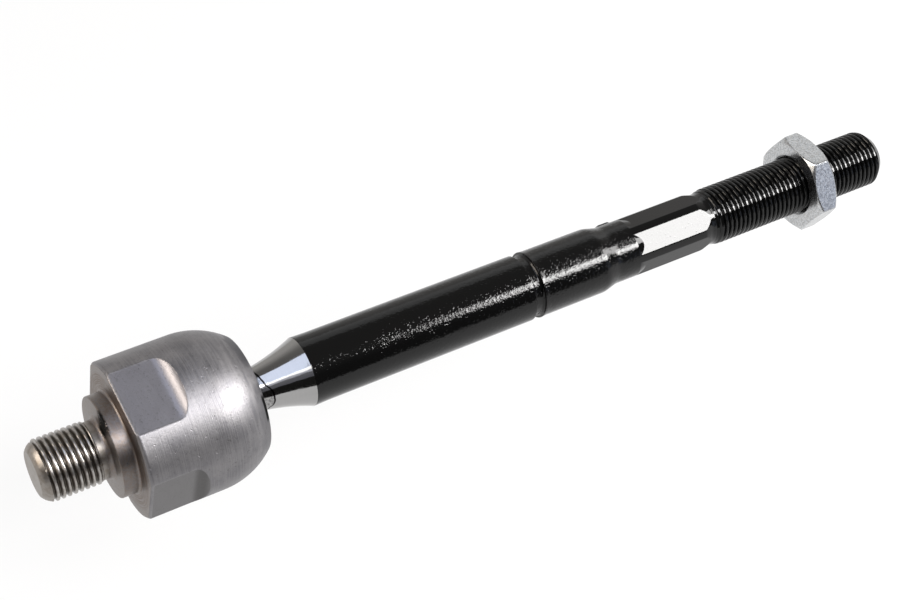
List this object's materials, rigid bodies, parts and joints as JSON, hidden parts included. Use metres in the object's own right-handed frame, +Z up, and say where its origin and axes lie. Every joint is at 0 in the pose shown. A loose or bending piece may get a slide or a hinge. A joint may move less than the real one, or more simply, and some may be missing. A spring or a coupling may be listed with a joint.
{
  "type": "inner tie rod",
  "caption": "Inner tie rod for a rack and pinion steering: screw-in ball socket, glossy black forged rod with a long outer thread, and a jam nut",
  "frame": {"origin": "centre of the collar's front face, which seats on the end of the steering rack", "axes": "+X along the rod from the ball to the outer thread; the rack stud points to -X; +Z up, with a flat of the jam nut straight down"},
  "size_m": [0.2521, 0.0402, 0.0402],
  "materials": {
    "forged_steel": "turned, oiled",
    "seat_plastic": "matte",
    "spring_steel": "plain",
    "black_paint": "gloss",
    "zinc_plate": "zinc plated"
  },
  "bodies": {
    "housing": {"socket_housing": "forged_steel", "ball_seat": "seat_plastic", "preload_spring": "spring_steel"},
    "rod": {"tie_rod": "black_paint"},
    "nut": {"jam_nut": "zinc_plate"}
  },
  "joints": [
    {"name": "rod_swing", "type": "hinge", "parent": "housing", "child": "rod", "pos_m": [0.024, 0, 0], "axis": [0, 1, 0], "range_deg": [-25, 25]},
    {"name": "nut_turn", "type": "hinge", "parent": "rod", "child": "nut", "pos_m": [0.21, 0, 0], "axis": [1, 0, 0], "continuous": true}
  ]
}
